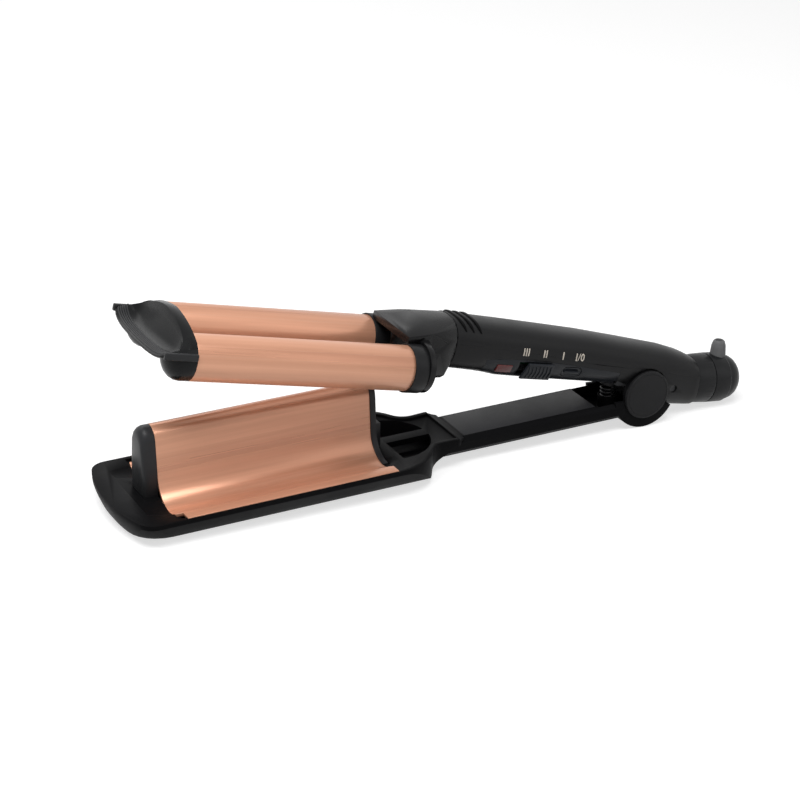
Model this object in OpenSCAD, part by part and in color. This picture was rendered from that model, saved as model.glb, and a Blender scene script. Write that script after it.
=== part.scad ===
// Hair waver: two heated barrels on a sprung upper arm close over a ridged wave plate.
// The part rests on the nose of its lower head and on the hinge knuckle.
// Row frame: +X runs from the tip to the cord end, +Z is up, the hinge axis lies along Y.
// Upper and lower arm pieces are drawn in their own arm frames, whose origin is on the hinge axis.

/* [Barrels] */
// Diameter of each heated barrel
barrel_d = 22; // [20:0.5:23]
// Distance between the two barrel axes
barrel_pitch = 42; // [41:0.5:44]
// Distance from the hinge axis to the front end of the barrels
barrel_front = 265.5; // [255:0.5:275]
// Length of each barrel tube
barrel_len = 117.5; // [112:0.5:120]
// Height of the barrel axes above the hinge axis
barrel_rise = 9.9; // [9.5:0.1:10.5]
// Wall of each barrel tube
barrel_wall = 1.2; // [1:0.1:1.6]

/* [Wave plate] */
// Height of the ridge top above the hinge axis
ridge_top = 32.5; // [28:0.5:33]
// Width of the ridge at its rounded top
ridge_w = 13; // [12:0.5:14]
// Width of the ridge at its foot
ridge_foot_w = 16; // [15:0.5:17]
// Overall width of the plate across its lips
plate_w = 71; // [69:0.5:72]
// Thickness of the plate
plate_wall = 1.5; // [1.2:0.1:1.8]
// Gap that would be left between barrel and trough with the arms parallel
trough_gap = 2.2; // [1.8:0.1:2.6]

/* [Lower housing] */
// Distance from the hinge axis to the tip of the nose
nose_reach = 291; // [288:0.5:296]
// Width of the head over its rim
head_w = 73; // [72.4:0.2:76]
// Width of the head across its flat underside
sole_w = 52; // [46:1:56]
// Depth of the head's underside below the hinge axis
head_depth = 13.7; // [13.4:0.1:14.2]
// Width of the slim arm
arm_w = 29.2; // [28.8:0.2:30.4]

/* [Hinge] */
// Angle between the arms at rest
open_angle = 13.8; // [12:0.1:16]
// Radius of the knuckle, which is also the height of the hinge axis above the table
knuckle_r = 18.4; // [18:0.1:19]
// Diameter of the round hinge caps
cap_d = 25.8; // [24:0.2:26]
// Diameter of the hinge pin
pin_d = 6; // [5:0.5:6]

/* [Handle] */
// Width of the handle
handle_w = 29; // [28:0.5:30]
// Wall of the handle shells
shell_wall = 2; // [1.6:0.1:2.4]
// Outer diameter of the tail collar
collar_d = 26.4; // [25:0.2:27]
// Upward tilt of the cord swivel against the handle
tail_tilt = 5.5; // [4:0.5:8]
// Travel of the heat switch through its three settings
switch_travel = 6.6; // [4.4:0.2:7]
// Stroke of the power button
button_stroke = 0.8; // [0.5:0.1:1]

/* [Hidden] */

$fn = 64;
slip = 0.05;          // radial clearance of a running fit
gap = 0.3;            // clearance between pieces that move past each other
big = 400;            // size of the blocks that cut
barrel_r = barrel_d / 2;
half_pitch = barrel_pitch / 2;
trough_r = barrel_r + trough_gap;
plate_front = -267;   // front and rear ends of the wave plate in the lower arm frame
plate_rear = -156;
lip_front = -263.5;
lip_rear = -154.6;
lip_z = -0.3;         // top of the plate's lips
deck_z = -1.9;        // top of the head round the plate
rim_z = -0.7;         // top of the head's rim
arm_top = -2.1;
arm_bottom = -11.6;
ear_inner = 12.7;     // the two hinge ears stand between these distances from the middle plane
ear_outer = arm_w / 2;
cap_out = 16.45;      // outer faces of the hinge caps
drum_in = 16;         // inner radius of the knuckle
spring_x = -14;       // place of the return spring along the lower arm
spring_foot = -8.2;
spring_len = 9.9;
// The arm is tilted so that the nose of the head and the knuckle both touch the table.
sole_front = nose_reach - 5.5;
rest_tilt = asin((knuckle_r - head_depth + 0.5) / sole_front);
tail_x = 33.5;        // start of the tail collar in the upper arm frame
tail_z = 4.4;
tail_len = 31;
tail_end_r = 6;
tail_slope = open_angle - rest_tilt - tail_tilt;
tail_reach = tail_x * cos(open_angle - rest_tilt) + tail_z * sin(open_angle - rest_tilt)
    + tail_len * cos(tail_slope) + tail_end_r * sin(tail_slope);
hinge_x = (nose_reach * cos(rest_tilt) - tail_reach) / 2;

// Frames -----------------------------------------------------------------

module in_lower() {
    translate([hinge_x, 0, knuckle_r])
        rotate([0, -rest_tilt, 0]) children();
}

module in_upper() {
    in_lower()
        rotate([0, open_angle, 0]) children();
}

// Moves the tail's frame, with Z along its axis, into the upper arm's frame.
module at_tail() {
    translate([tail_x, 0, tail_z]) rotate([0, 90 - tail_tilt, 0]) children();
}

module in_tail() {
    in_upper()
        at_tail() children();
}

// Extrudes a YZ outline from x0 to x1.
module along_x(x0, x1) {
    translate([x0, 0, 0]) rotate([90, 0, 90])
        linear_extrude(height = x1 - x0) children();
}

// Extrudes an XZ outline from y0 to y1.
module along_y(y0, y1) {
    translate([0, y1, 0]) rotate([90, 0, 0])
        linear_extrude(height = y1 - y0) children();
}

// A round bar along Y from y0 to y1, through the point (x, z).
module bar_y(x, z, r, y0, y1) {
    translate([x, y1, z]) rotate([90, 0, 0])
        cylinder(r = r, h = y1 - y0);
}

// A round bar along X from x0 to x1, through the point (y, z).
module bar_x(y, z, r, x0, x1) {
    translate([x0, y, z]) rotate([0, 90, 0])
        cylinder(r = r, h = x1 - x0);
}

module box_from(low, high) {
    translate(low) cube(high - low);
}

// Points of an arc about c, from angle a0 to a1.
function arc(c, r, a0, a1, n = 6) =
    [for (i = [0 : n]) c + r * [cos(a0 + (a1 - a0) * i / n), sin(a0 + (a1 - a0) * i / n)]];

function mirrored(points) =
    [for (i = [len(points) - 1 : -1 : 0]) [-points[i].x, points[i].y]];

function flipped(points) =
    [for (i = [len(points) - 1 : -1 : 0]) [points[i].x, -points[i].y]];

// Signed power, for rounded box sections.
function spow(v, p) = sign(v) * pow(abs(v), p);

// Closes a list of equal rings into one solid. The rings of a ribbon run out and back.
module loft(rings, ribbon = false) {
    n = len(rings[0]);
    last = (len(rings) - 1) * n;
    points = [for (ring = rings, p = ring) p];
    sides = [for (i = [0 : len(rings) - 2], j = [0 : n - 1], half = [0, 1])
        let (a = i * n + j, b = i * n + (j + 1) % n)
        half == 0 ? [a, b + n, b] : [a, a + n, b + n]];
    cap = ribbon ? [for (i = [0 : n / 2 - 2]) [i, i + 1, n - 2 - i, n - 1 - i]]
        : [[for (j = [0 : n - 1]) j]];
    far_cap = [for (face = cap) [for (j = [len(face) - 1 : -1 : 0]) last + face[j]]];
    polyhedron(points = points, faces = concat(sides, cap, far_cap), convexity = 8);
}

// Lower arm --------------------------------------------------------------

// One half of the wave plate's surface, moved inwards by off, from the lip to the ridge top.
function plate_half(off) =
    let (r = trough_r + off,
        c = [half_pitch, barrel_rise],
        side = ridge_foot_w / 2 - off,
        lip_y = half_pitch + sqrt(r * r - pow(barrel_rise - lip_z + off, 2)),
        a_lip = atan2(lip_z - off - c.y, lip_y - c.x),
        a_side = -180 + asin(sqrt(1 - pow((c.x - side) / r, 2))),
        top_r = ridge_w / 2)
    concat([[plate_w / 2, lip_z - off]],
        arc(c, r, a_lip, a_side, 12),
        arc([0, ridge_top - top_r], top_r - off, 4, 90, 7));

function plate_outline(off) =
    let (half = plate_half(off))
    concat(half, mirrored([for (i = [0 : len(half) - 2]) half[i]]));

module plate_sheet() {
    upper = plate_outline(0);
    lower = plate_outline(plate_wall);
    polygon(concat(upper, [for (i = [len(lower) - 1 : -1 : 0]) lower[i]]));
}

module wave_plate() {
    color([0.79, 0.58, 0.46])
    in_lower() {
        difference() {
            along_x(plate_front, lip_rear) plate_sheet();
            box_from([plate_rear, -29.6, -20], [lip_rear + 1, 29.6, 60]);
            for (side = [-1, 1])
                box_from([plate_front - 1, side > 0 ? 29.6 : -60, -20],
                    [lip_front, side > 0 ? 60 : -29.6, 20]);
        }
    }
}

// Plan of the head, the shoulders and the arm, moved inwards by off.
function head_plan(off) =
    let (w = head_w / 2 - off,
        front_r = 92,
        corner_r = 9 - off,
        tip = -nose_reach + off,
        centre = tip + front_r,
        corner_y = w - corner_r,
        spread = asin(corner_y / (front_r - corner_r)),
        corner_x = centre - (front_r - corner_r) * cos(spread),
        shoulder_r = 27 - off,
        waist = 2.6,
        hollow_r = 9.5)
    concat(arc([centre, 0], front_r, 180, 180 - spread, 8),
        arc([corner_x, corner_y], corner_r, 180 - spread, 90, 5),
        arc([-153, w - shoulder_r], shoulder_r, 90, 28, 9),
        arc([-120.8, ear_outer + waist + hollow_r], hollow_r + off, 208, 268, 6),
        arc([-112.4, ear_outer + 0.2], 3 - off, 90, 20, 5),
        [[-107.4, ear_outer - off], [-8, ear_outer - off]]);

module head_outline(off) {
    half = head_plan(off);
    polygon(concat(half, flipped([for (i = [1 : len(half) - 1]) half[i]])));
}

neck_rear = -106.2;

// Levels of the tapering head: height, side and front steps inwards, corner radius, rear end.
sole_step = (head_w - sole_w) / 2;
head_levels = [[rim_z, -2, -2, 11, neck_rear], [rim_z - 2.2, 0, 0, 9, neck_rear - 2],
    [-6.1, 0.26 * sole_step, 1.1, 11, -115], [-9.4, 0.53 * sole_step, 2.5, 13.5, -122],
    [-12.1, 0.76 * sole_step, 4.3, 15.5, -129], [-13.2, 0.9 * sole_step, 5.9, 16.5, -132],
    [-head_depth, 1.05 * sole_step, 8.2, 17, -136]];

function head_ring(level) =
    let (w = head_w / 2 - level[1],
        front_r = 92,
        r = level[3],
        centre = level[2] - nose_reach + front_r,
        spread = asin((w - r) / (front_r - r)),
        corner_x = centre - (front_r - r) * cos(spread),
        half = concat(arc([centre, 0], front_r, 180, 180 - spread, 8),
            arc([corner_x, w - r], r, 180 - spread, 90, 6), [[level[4], w]]))
    [for (p = concat(half, flipped([for (i = [1 : len(half) - 1]) half[i]]))) [p.x, p.y, level[0]]];

inlay_front = -106;

module arm_section() {
    polygon([[12.2, arm_top], [ear_outer, arm_top - 2.6], [ear_outer, arm_bottom + 2.6],
        [ear_outer - 2.6, arm_bottom], [2.6 - ear_outer, arm_bottom],
        [-ear_outer, arm_bottom + 2.6], [-ear_outer, arm_top - 2.6], [-12.2, arm_top]]);
}

module head_block() {
    intersection() {
        loft([for (level = head_levels) head_ring(level)]);
        translate([0, 0, -20]) linear_extrude(height = 30) head_outline(0);
    }
    intersection() {
        along_x(-125, -8) arm_section();
        translate([0, 0, -20]) linear_extrude(height = 30) head_outline(0);
    }
}

// Half-disc recess behind the plate, split by a rib, where the barrel collars come down.
module collar_pockets() {
    difference() {
        translate([-143, 0, -10.5]) cylinder(r = 22, h = 20);
        box_from([-170, -30, -20], [-145, 30, 20]);
        box_from([-150, -3.2, -20], [-110, 3.2, 20]);
    }
}

// Shallow ends of the troughs in the head, tapering out of the deck.
module trough_runouts() {
    taper = 1.9;
    for (side = [-1, 1])
        translate([0, side * half_pitch, barrel_rise]) rotate([0, 90, 0]) {
            translate([0, 0, plate_front - 12])
                cylinder(r1 = trough_r - taper, r2 = trough_r, h = 12.5);
            translate([0, 0, plate_rear - 0.5])
                cylinder(r1 = trough_r, r2 = trough_r - taper, h = 12);
        }
}

// Rounded knuckle with two ears that hold the pin.
module knuckle() {
    difference() {
        bar_y(0, 0, knuckle_r, -ear_outer, ear_outer);
        rotate([0, 5, 0]) box_from([-40, -40, -3.2], [40, 40, 40]);
        rotate([0, 20, 0]) box_from([0, -40, -3.2], [40, 40, 40]);
    }
    for (side = [-1, 1])
        bar_y(0, 0, cap_d / 2, side > 0 ? ear_inner - 0.5 : -ear_outer,
            side > 0 ? ear_outer : 0.5 - ear_inner);
}

screw_spots = [[-252, 20], [-252, -20], [-171, 20], [-171, -20]];

module housing_shell() {
    difference() {
        union() {
            head_block();
            knuckle();
        }
        // Deck inside the rim.
        translate([0, 0, deck_z]) linear_extrude(height = 20)
            intersection() {
                head_outline(2.4);
                translate([plate_front - 0.5, -50]) square([155.5, 100]);
            }
        cap_body(0.03);
        // Ramp from the neck down to the arm.
        along_y(-40, 40)
            polygon([[-111.5, 5], [-111.5, deck_z + 0.6], [neck_rear - 0.6, arm_top],
                [neck_rear + 1, arm_top], [neck_rear + 1, 5]]);
        // Room under the plate.
        along_x(plate_front + 2, plate_rear - 2)
            polygon([[33.4, 5], [33.4, -3], [sole_w / 2, -11.5],
                [-sole_w / 2, -11.5], [-33.4, -3], [-33.4, 5]]);
        box_from([plate_front, -29.6, -4.84], [plate_rear, 29.6, 5]);
        box_from([plate_rear - 1, -23.4, -3.24], [plate_rear + 3.02, 23.4, 5]);
        box_from([lip_front, -plate_w / 2, lip_z - plate_wall], [lip_rear, plate_w / 2, 5]);
        trough_runouts();
        collar_pockets();
        // Seat of the inlay and wire duct below it.
        box_from([inlay_front, -12.2, arm_top - 1.3], [-29, 12.2, 5]);
        box_from([-150, -4, -9.3], [-29.5, 4, -5]);
        box_from([-104, -9, -9.3], [-36, 9, -3]);
        // Spring bay and the room between the ears.
        box_from([-29, -ear_inner, -9.3], [-9, ear_inner, 5]);
        bar_y(0, 0, drum_in, -ear_inner, ear_inner);
    }
}

module lower_housing() {
    color([0.09, 0.09, 0.095])
    in_lower()
        difference() {
            union() {
                housing_shell();
                for (spot = screw_spots)
                    translate([spot.x, spot.y, -12]) cylinder(r = 4, h = 12 - 5.2);
                translate([spring_x, 0, -10.5]) cylinder(r = 5.2, h = 7.3);
            }
            bar_y(0, 0, pin_d / 2 + 0.02, -40, 40);
            translate([spring_x, 0, spring_foot]) cylinder(r = 4.4, h = 12);
            for (spot = screw_spots)
                translate([spot.x, spot.y, -16]) {
                    cylinder(r = 1.6, h = 16);
                    cylinder(r = 3.2, h = 5.62);
                }
            // The sole lies flat on the table.
            rotate([0, rest_tilt, 0]) box_from([-big, -60, -60], [big, 60, -knuckle_r]);
        }
}

// End outline of the ridge, drawn in by off.
function ridge_ring(x, off, top) =
    let (half = concat([[ridge_foot_w / 2 - off, deck_z], [ridge_foot_w / 2 - off, 9]],
        arc([0, ridge_top - ridge_w / 2 - top], ridge_w / 2 - off, 0, 81, 8)))
    [for (p = concat(half, mirrored(half))) [x, p.x, p.y]];

// Steps of the front cap: reach in front of the plate, step inwards, drop of the top.
cap_steps = [[7.2, 1.5, 4.1], [6.95, 0.7, 2.9], [6.3, 0.15, 1.75], [5, 0, 0.6], [3.4, 0, 0],
    [0.02, 0, 0]];

module cap_body(grow = 0) {
    loft([for (cut = cap_steps) ridge_ring(plate_front - cut[0] + (cut[0] > 1 ? -grow : 2 * grow),
        cut[1] - grow, cut[2])]);
}

module ridge_front_cap() {
    color([0.1, 0.1, 0.105])
    in_lower()
        cap_body();
}

module ridge_rear_cap() {
    flare = [for (p = plate_half(-0.4)) if (p.x < 23) p];
    color([0.1, 0.1, 0.105])
    in_lower() {
        along_x(plate_rear + 0.02, plate_rear + 3)
            polygon(concat([[flare[0].x, -3.2]], flare, mirrored([for (i = [0 : len(flare) - 2])
                flare[i]]), [[-flare[0].x, -3.2]]));
        box_from([plate_rear + 2.9, -5.5, deck_z + 0.02], [plate_rear + 6.6, 5.5, 11]);
    }
}

module plate_spreader() {
    color([0.75, 0.76, 0.78])
    in_lower()
        for (side = [-1, 1])
            box_from([plate_front + 6, side > 0 ? 2.6 : -4.9, -2],
                [plate_rear - 6, side > 0 ? 4.9 : -2.6, 22]);
}

module plate_heater() {
    color([0.88, 0.86, 0.8])
    in_lower()
        box_from([plate_front + 10, -2.5, -1], [plate_rear - 10, 2.5, 19]);
}

module plate_screws() {
    color([0.7, 0.71, 0.73])
    in_lower()
        for (spot = screw_spots)
            translate([spot.x, spot.y, 0]) {
                translate([0, 0, -11.98]) cylinder(r = 2.9, h = 1.6 - 0.02);
                translate([0, 0, -10.5]) cylinder(r = 1.5, h = 5.2);
            }
}

module arm_inlay() {
    color([0.14, 0.14, 0.145])
    in_lower()
        difference() {
            box_from([inlay_front + 0.1, -12.1, arm_top - 1.28], [-29.1, 12.1, arm_top]);
        }
}

module hinge_pin() {
    color([0.7, 0.71, 0.73])
    in_lower()
        bar_y(0, 0, pin_d / 2, -ear_outer + 0.1, ear_outer - 0.1);
}

module hinge_washers() {
    color([0.85, 0.84, 0.8])
    in_lower()
        for (side = [-1, 1])
            difference() {
                bar_y(0, 0, 7.4, side * 12.5 - 0.15, side * 12.5 + 0.15);
                bar_y(0, 0, pin_d / 2 + slip, -20, 20);
            }
}

module hinge_cap(side) {
    r = cap_d / 2;
    in_lower()
        rotate([-90 * side, 0, 0])
        rotate_extrude($fn = 96)
            polygon([[0, ear_outer + 0.02], [r, ear_outer + 0.02], [r, cap_out - 0.5],
                [r - 0.5, cap_out], [0, cap_out]]);
}

module hinge_cap_near() {
    color([0.13, 0.13, 0.135]) hinge_cap(-1);
}

module hinge_cap_far() {
    color([0.13, 0.13, 0.135]) hinge_cap(1);
}

// Compression coil, swept along a helix.
module return_spring() {
    turns = 5;
    per_turn = 14;
    wire_r = 0.55;
    coil_r = 3.5;
    steps = turns * per_turn;
    rise = spring_len - 2 * wire_r - 0.2;
    color([0.6, 0.61, 0.63])
    in_lower()
        translate([spring_x, 0, spring_foot + wire_r + 0.1])
        loft([for (i = [0 : steps])
            let (a = 360 * i / per_turn, z = rise * i / steps)
            [for (j = [0 : 7])
                let (b = -45 * j, r = coil_r + wire_r * cos(b))
                [r * cos(a), r * sin(a), z + wire_r * sin(b)]]]);
}

// Upper arm --------------------------------------------------------------

module barrel(side) {
    color([0.79, 0.58, 0.46])
    in_upper()
        difference() {
            bar_x(side * half_pitch, barrel_rise, barrel_r, -barrel_front,
                barrel_len - barrel_front);
            bar_x(side * half_pitch, barrel_rise, barrel_r - barrel_wall, -barrel_front - 1,
                barrel_len - barrel_front + 1);
        }
}

module barrel_near() {
    barrel(-1);
}

module barrel_far() {
    barrel(1);
}

heater_t = 4;

// Two half-round bars that press the flat heater against the tube.
module spreader(side) {
    color([0.75, 0.76, 0.78])
    in_upper()
        difference() {
            bar_x(side * half_pitch, barrel_rise, barrel_r - barrel_wall - slip,
                -barrel_front + 8, barrel_len - barrel_front - 10);
            box_from([-big, side * half_pitch - 20, barrel_rise - heater_t / 2],
                [0, side * half_pitch + 20, barrel_rise + heater_t / 2]);
        }
}

module spreader_near() {
    spreader(-1);
}

module spreader_far() {
    spreader(1);
}

module heater(side) {
    color([0.88, 0.86, 0.8])
    in_upper()
        box_from([-barrel_front + 10, side * half_pitch - 7, barrel_rise - heater_t / 2 + 0.02],
            [barrel_len - barrel_front - 12, side * half_pitch + 7,
                barrel_rise + heater_t / 2 - 0.02]);
}

module heater_near() {
    heater(-1);
}

module heater_far() {
    heater(1);
}

// Cool tip: a scooped lip in front of both barrel ends, under an arched shoulder.
blade_half = 31.4;
tube_end = -265.52;
lip_t = 1.8;          // thickness of the lip
blade_y = [31.4, 30.7, 29.4, 27, 24, 20.5, 17, 13, 9, 4.5, 0];

function lip_edge(y) = let (s = abs(y) / blade_half)
    [-283.6 + 1.5 * pow(s, 1.3) + 2.5 * pow(s, 30), 8.6 + 4.6 * pow(s, 5)];
function lip_root(y) = let (s = abs(y) / 30)
    [-276.5 + 1.2 * pow(s, 1.3), 10.7 + 5.2 * pow(min(s, 1.02), 5)];
function scoop_rim(y) = let (s = min(abs(y) / 30, 1))
    [-270.6 - 4.4 * pow(s, 9), 26.4 - 10.6 * pow(s, 1.77)];
function shoulder_z(y) = 12.9 + 13.4 * sqrt(max(1 - pow(abs(y) / 31.5, 1.5), 0.015));
function end_drop(y) = 1.1 * pow(max(abs(y) - 28.6, 0) / 2.8, 3);

// The scoop's face from the rim down to the root of the lip, t running from 0 to 1.
function scoop(y, t) =
    let (rim = scoop_rim(y),
        root = lip_root(y),
        bend = [rim.x - 0.4, root.y + 0.12 * (rim.y - root.y)])
    pow(1 - t, 2) * rim + 2 * t * (1 - t) * bend + t * t * root;

// Side section of the lip, scoop and shoulder at distance y from the middle plane.
function blade_section(y) =
    let (edge = lip_edge(y),
        root = lip_root(y),
        rim = scoop_rim(y),
        drop = [0, end_drop(y)],
        back = max(shoulder_z(y), 14.6),
        t = [for (i = [1 : 5]) i / 6])
    concat([[tube_end, back] - drop, rim - drop], [for (i = t) scoop(y, i) - drop], [root - drop,
        [edge.x + 1, edge.y + lip_t + 0.1] - 0.6 * drop, [edge.x, edge.y + lip_t - 0.5],
        [edge.x, edge.y + 0.5], [edge.x + 1, edge.y], [root.x + 0.6, root.y - 2.1]],
        [for (i = [4 : -1 : 0]) scoop(y, t[i]) + [1.5 + 0.5 * (1 - t[i]), -1.9]],
        [[rim.x + 1.6, rim.y - 2.3], [tube_end, back - 2.3]]);

module blade() {
    rows = concat([for (y = blade_y) y], [for (i = [len(blade_y) - 2 : -1 : 0]) -blade_y[i]]);
    loft([for (y = rows) [for (p = blade_section(y)) [p.x, y, p.y]]], ribbon = true);
}

// Everything above the scoop's face, which the domes stay clear of.
module scoop_cutter() {
    rows = concat([-33], [for (i = [1 : len(blade_y) - 1]) -blade_y[i]],
        [for (i = [len(blade_y) - 2 : -1 : 1]) blade_y[i]], [33]);
    loft([for (y = rows)
        [for (p = concat([[tube_end - 1, 60], scoop_rim(y) + [4.3, 0]], [for (i = [0 : 5])
            scoop(y, i / 6) + [0.8, -0.8]], [lip_root(y) - [0, 1], [-290, 9], [-290, 60]]))
            [p.x, y, p.y]]]);
}

module tip_dome(side) {
    nose = 8.5;
    translate([tube_end, side * half_pitch, barrel_rise]) rotate([0, -90, 0])
        rotate_extrude()
            polygon(concat([[0, 0], [barrel_r, 0], [barrel_r, 4]],
                [for (a = [15 : 15 : 90]) [barrel_r * cos(a), 4 + nose * sin(a)]]));
}

module cool_tip() {
    color([0.1, 0.1, 0.105])
    in_upper() {
        difference() {
            for (side = [-1, 1])
                tip_dome(side);
            scoop_cutter();
        }
        blade();
        for (side = [-1, 1])
            bar_x(side * half_pitch, barrel_rise, barrel_r - barrel_wall - slip,
                tube_end - 0.5, tube_end + 7);
    }
}

// Cup that takes the rear end of one barrel.
cup_front = -152;
cup_back = -144.2;
collar_r = barrel_r + 0.8;
module collar(side) {
    end = barrel_len - barrel_front;
    color([0.1, 0.1, 0.105])
    in_upper()
        difference() {
            bar_x(side * half_pitch, barrel_rise, collar_r, cup_front, cup_back);
            bar_x(side * half_pitch, barrel_rise, barrel_r + 0.02, cup_front - 1, end + 0.02);
            bar_x(side * half_pitch, barrel_rise, 6, -160, -100);
        }
}

module collar_near() {
    collar(-1);
}

module collar_far() {
    collar(1);
}

// Handle sections ---------------------------------------------------------

handle_front = -121;
tail_stop = 31.5;
crown = [[-121, 31.6], [-105, 30.7], [-90, 30], [-66, 28.6], [-40, 27], [-14, 24.6], [12, 22.2],
    [24, 20], [30, 18.3], [34, 16.8], [38, 16.6]];
belly = [[-121, 5.6], [-100, 4.4], [-91, 3], [-64, 2.3], [-20, 1.8], [-10, -2], [12, -9],
    [32, -8.6], [38, -8.2]];
width = [[-121, handle_w], [-60, handle_w], [-20, handle_w - 0.6], [12, handle_w - 1.4],
    [32, handle_w - 4], [38, handle_w - 4.4]];
upper_seam = [[-121, 21], [-96, 20.3], [-71, 18.3], [-33, 14.3], [-1, 12.8], [26, 10.4], [38, 9.4]];
panel_seam = [[-101.6, 13.6], [-94, 14.7], [-76, 14.8], [-58, 14.1], [-33, 11.8], [-19.1, 10.4]];
roundness = 0.78;

function mid_z(x) = (lookup(x, crown) + lookup(x, belly)) / 2;
function half_h(x) = (lookup(x, crown) - lookup(x, belly)) / 2;
function rim_angle(x, z, wall = 0) =
    let (v = max(min((z - mid_z(x)) / (half_h(x) - wall), 1), -1))
    asin(spow(v, 1 / roundness));
function skin(x, a, wall = 0) =
    [x, (lookup(x, width) / 2 - wall) * spow(cos(a), roundness),
        mid_z(x) + (half_h(x) - wall) * spow(sin(a), roundness)];

function top_ring(x) =
    let (z = lookup(x, upper_seam) + 0.01,
        a = rim_angle(x, z),
        b = rim_angle(x, z, shell_wall),
        n = 14)
    concat([for (i = [0 : n]) skin(x, a + (180 - 2 * a) * i / n)],
        [for (i = [n : -1 : 0]) skin(x, b + (180 - 2 * b) * i / n, shell_wall)]);

function under_ring(x, z, wall) =
    let (a = rim_angle(x, z), b = rim_angle(x, z, wall), n = 14)
    concat([for (i = [0 : n]) skin(x, 180 - a + (180 + 2 * a) * i / n)],
        [for (i = [n : -1 : 0]) skin(x, 180 - b + (180 + 2 * b) * i / n, wall)]);

module slice_end() {
    along_x(handle_front - 0.5, handle_front - 0.02) handle_slice();
}

module spots(points) {
    for (p = points) translate(p) cube(0.02, center = true);
}

function both_sides(points) = [for (side = [-1, 1], p = points) [p.x, side * p.y, p.z]];

// Facetted block in front of the handle, with a keel on each side.
keel = [[-136.3, 18, 16.7], [-131.5, 18, 17], [-125.5, 16.2, 5.4], [-126.5, 15, 3.8],
    [-131, 16, 3.8], [-136, 17.4, 5]];

module hub_core() {
    hull() {
        slice_end();
        spots(both_sides(concat(keel, [[-135, 11, 27.5]])));
    }
}

// Cup behind one collar, running into the block's keel.
module hub_cup(side) {
    hull() {
        bar_x(side * half_pitch, barrel_rise + 0.8, barrel_r + 1.2, cup_back + 0.02,
            cup_back + 3, $fn = 40);
        spots([for (p = [[-136.3, 18, 16.7], [-136, 17.4, 5], [-135.6, 6, 4.4], [-135.6, 6, 24]])
            [p.x, side * p.y, p.z]]);
    }
}

// Hood that reaches forward over both collars.
module hub_hood() {
    hull() {
        slice_end();
        spots(both_sides([[-151.4, 18.5, 24.6], [-151.4, 18.5, 21], [-149.5, 9, 25.8],
            [-148.5, 9, 21], [-138, 17.5, 26.6], [-138, 8, 29.8], [-130, 13.5, 22]]));
    }
}

module hub() {
    color([0.11, 0.11, 0.115])
    in_upper()
        difference() {
            union() {
                hub_core();
                for (side = [-1, 1]) hub_cup(side);
                hub_hood();
            }
            for (side = [-1, 1]) {
                bar_x(side * half_pitch, barrel_rise, collar_r + 0.02, cup_front - 1, cup_back + 0.02);
                // Wire way from the barrel into the handle.
                bar_x(side * half_pitch, 12.5, 3.4, -146, -138.5);
                translate([-124, 0, 14]) rotate([0, 0, side > 0 ? -53 : 53])
                    rotate([0, -90, 0]) cylinder(r = 3, h = 26);
            }
            bar_x(0, 17, 8, -129, -100);
        }
}

// Outline of the handle's front end.
module handle_slice() {
    polygon([for (i = [0 : 23])
        let (p = skin(handle_front, 360 * i / 24, 0.2))
        [p.y, p.z]]);
}

// Everything behind the tilted end face of the handle.
module behind_handle() {
    at_tail() translate([-30, -30, 1.28]) cube([60, 60, 40]);
}

module handle_top() {
    color([0.1, 0.1, 0.105])
    in_upper()
        difference() {
            loft([for (x = [-121, -105, -90, -78, -66, -52, -40, -14, 0, 12, 18, 24, 30, 34, 38])
                top_ring(x)], ribbon = true);
            behind_handle();
            knuckle_room();
        }
}

vent_x = [-118, -113.6, -109.2];

// Three dark ribs let into the crown of the handle, swept back down its sides.
module vent_ribs() {
    steps = 12;
    spread = 54;
    color([0.04, 0.04, 0.045])
    in_upper()
        for (x0 = vent_x)
            loft([for (i = [0 : steps])
                let (a = 90 + spread - 2 * spread * i / steps,
                    x = x0 + 2 * pow(abs(a - 90) / spread, 2),
                    taper = 1 - 0.7 * pow(abs(a - 90) / spread, 4),
                    low = skin(x, a, -0.12),
                    high = skin(x, a, -0.12 - 0.65 * taper))
                [low - [1.1 * taper, 0, 0], high - [0.7 * taper, 0, 0],
                    high + [0.7 * taper, 0, 0], low + [1.1 * taper, 0, 0]]]);
}

tail_screw = [18, 3];

// Swings clear of the knuckle and the ears over the whole travel.
module knuckle_room() {
    for (side = [-1, 1])
        bar_y(0, 0, cap_d / 2 + 0.7, side > 0 ? 12.1 : -30, side > 0 ? 30 : -12.1);
    intersection() {
        bar_y(0, 0, knuckle_r + gap, -30, 30);
        union() {
            box_from([-big, -30, -big], [0, 30, 2]);
            rotate([0, 14, 0]) box_from([-1, -30, -big], [big, 30, 0]);
        }
    }
}

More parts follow.
